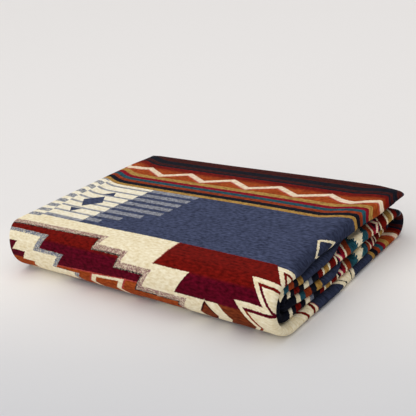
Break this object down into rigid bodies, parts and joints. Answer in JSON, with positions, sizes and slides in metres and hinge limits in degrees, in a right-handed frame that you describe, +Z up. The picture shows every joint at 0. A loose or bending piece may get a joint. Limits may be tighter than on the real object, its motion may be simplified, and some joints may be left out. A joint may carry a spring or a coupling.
{
  "type": "folded blanket",
  "caption": "Large woven alpaca blanket folded into a flat rectangular stack, with a wide round front fold, rolled side edges and nested inner folds.",
  "frame": {"origin": "centre of the stack's flat underside, on the surface it rests on", "axes": "+X along the front fold towards the rolled edge, +Y from the round front fold to the back, +Z up through the layers"},
  "size_m": [0.5126, 0.351, 0.0758],
  "materials": {
    "cloth": "brushed woven wool, matt with a soft nap"
  },
  "bodies": {
    "root": {"blanket": "cloth"}
  },
  "joints": []
}
